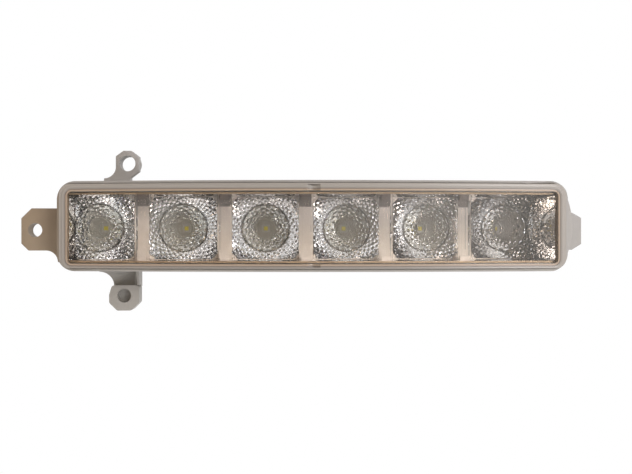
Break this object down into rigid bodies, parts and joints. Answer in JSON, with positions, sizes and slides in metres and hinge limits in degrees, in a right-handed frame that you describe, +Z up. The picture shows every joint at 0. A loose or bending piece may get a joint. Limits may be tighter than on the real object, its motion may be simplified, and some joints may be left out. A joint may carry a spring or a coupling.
{
  "type": "daytime running light",
  "caption": "Slim car daytime running light: a bowed clear lens on a grey housing with fixing ears, over a row of square crystal-like LED collimators in a metallised bezel.",
  "frame": {"origin": "on the lens's outer face in front of the window's middle, where the lamp shows in the bumper", "axes": "+X along the lamp, to the right seen from the front; +Z up; -Y the way the light leaves"},
  "size_m": [0.2408, 0.0691, 0.0694],
  "materials": {
    "clear_lens": "polished clear acrylic",
    "clear_optic": "polished clear acrylic",
    "grey_housing": "fine-grained moulded grey plastic",
    "metallised": "vacuum-metallised plastic, satin silver",
    "sealant": "cured grey sealant",
    "board": "glass-fibre board with white solder mask",
    "led_yellow": "yellow phosphor on a square package",
    "pad": "soft silicone pad",
    "heat_sink": "mill-finish sheet",
    "steel": "zinc-plated screws",
    "tinned_brass": "tin-plated blades",
    "package_black": "moulded epoxy",
    "ceramic_tan": "ceramic chip",
    "membrane": "white breathable film"
  },
  "bodies": {
    "root": {"outer_lens": "clear_lens", "lens_sealant": "sealant", "housing": "grey_housing", "vent_membrane": "membrane", "collimator_bar": "clear_optic", "reflector_bezel": "metallised", "led_board": "board", "thermal_pad": "pad", "heat_sink": "heat_sink", "board_screws": "steel", "string_driver_1": "package_black", "string_driver_2": "package_black", "reverse_diode": "package_black", "surge_suppressor": "package_black", "input_capacitor": "ceramic_tan", "sense_resistor_1": "package_black", "sense_resistor_2": "package_black", "led_1": "led_yellow", "led_2": "led_yellow", "led_3": "led_yellow", "led_4": "led_yellow", "led_5": "led_yellow", "led_6": "led_yellow", "terminal_1": "tinned_brass", "terminal_2": "tinned_brass", "terminal_3": "tinned_brass"}
  },
  "joints": []
}
